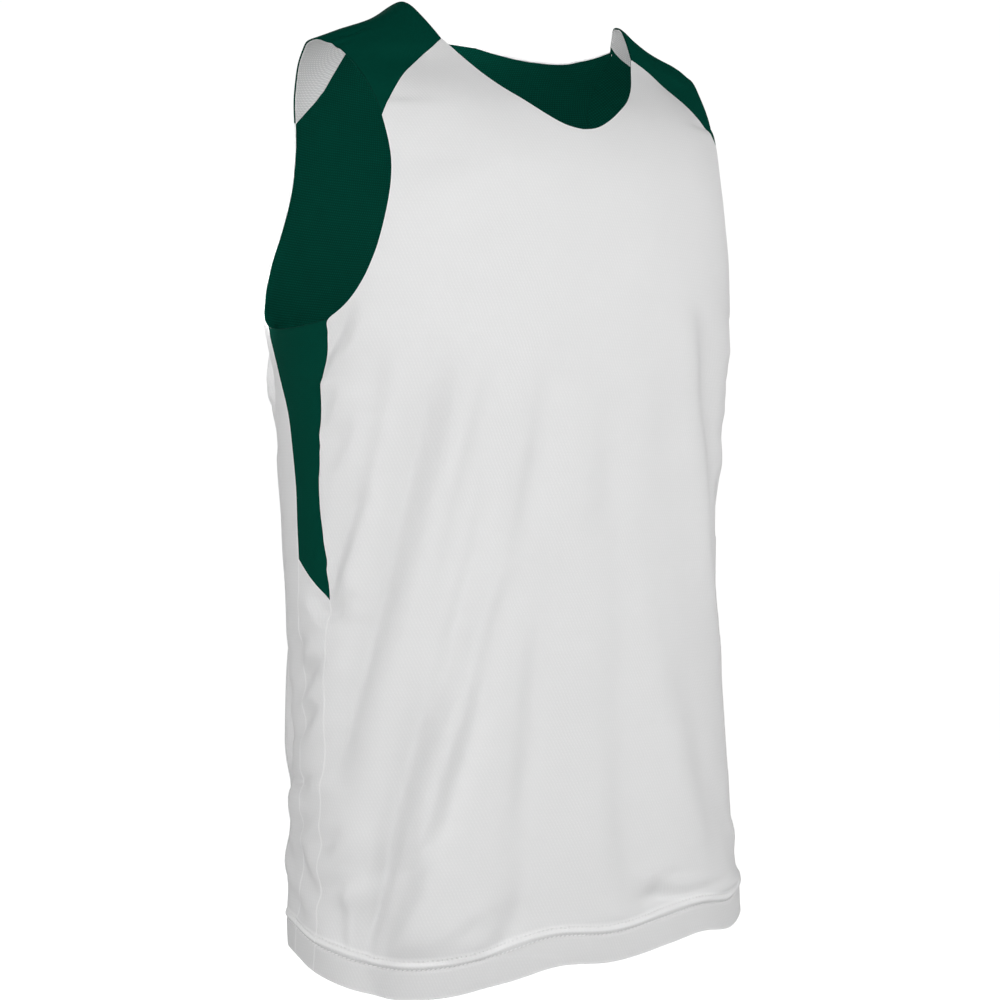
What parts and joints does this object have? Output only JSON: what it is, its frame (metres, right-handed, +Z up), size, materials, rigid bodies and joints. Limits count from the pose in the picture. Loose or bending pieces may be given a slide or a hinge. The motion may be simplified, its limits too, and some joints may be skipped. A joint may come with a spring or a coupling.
{
  "type": "basketball jersey",
  "caption": "Sleeveless reversible sports jersey with a mesh lining, a scoop neck, deep armholes, contrast shoulder yokes and tapered side inserts, in its filled-out worn shape.",
  "frame": {"origin": "where the wearer's shoulders carry the jersey: between the two straps, at the height of their undersides", "axes": "+X is the wearer's left, the front of the jersey looks along -Y, +Z is up"},
  "size_m": [0.3852, 0.2707, 0.735],
  "materials": {
    "white_knit": "smooth polyester warp knit, soft low sheen",
    "green_knit": "smooth polyester warp knit, soft low sheen",
    "green_mesh_knit": "polyester mesh knit with fine eyelets, matte",
    "white_mesh_knit": "polyester mesh knit with fine eyelets, matte"
  },
  "bodies": {
    "root": {"front": "white_knit", "back": "white_knit", "yoke_right": "green_knit", "yoke_left": "green_knit", "side_insert_right": "green_knit", "side_insert_left": "green_knit", "side_panel_right": "white_knit", "side_panel_left": "white_knit", "lining_front": "green_mesh_knit", "lining_back": "green_mesh_knit", "lining_yoke_right": "white_mesh_knit", "lining_yoke_left": "white_mesh_knit", "lining_back_shoulder_left": "green_mesh_knit", "lining_side_insert_right": "white_mesh_knit", "lining_side_insert_left": "white_mesh_knit", "lining_side_panel_right": "green_mesh_knit", "lining_side_panel_left": "green_mesh_knit"}
  },
  "joints": []
}
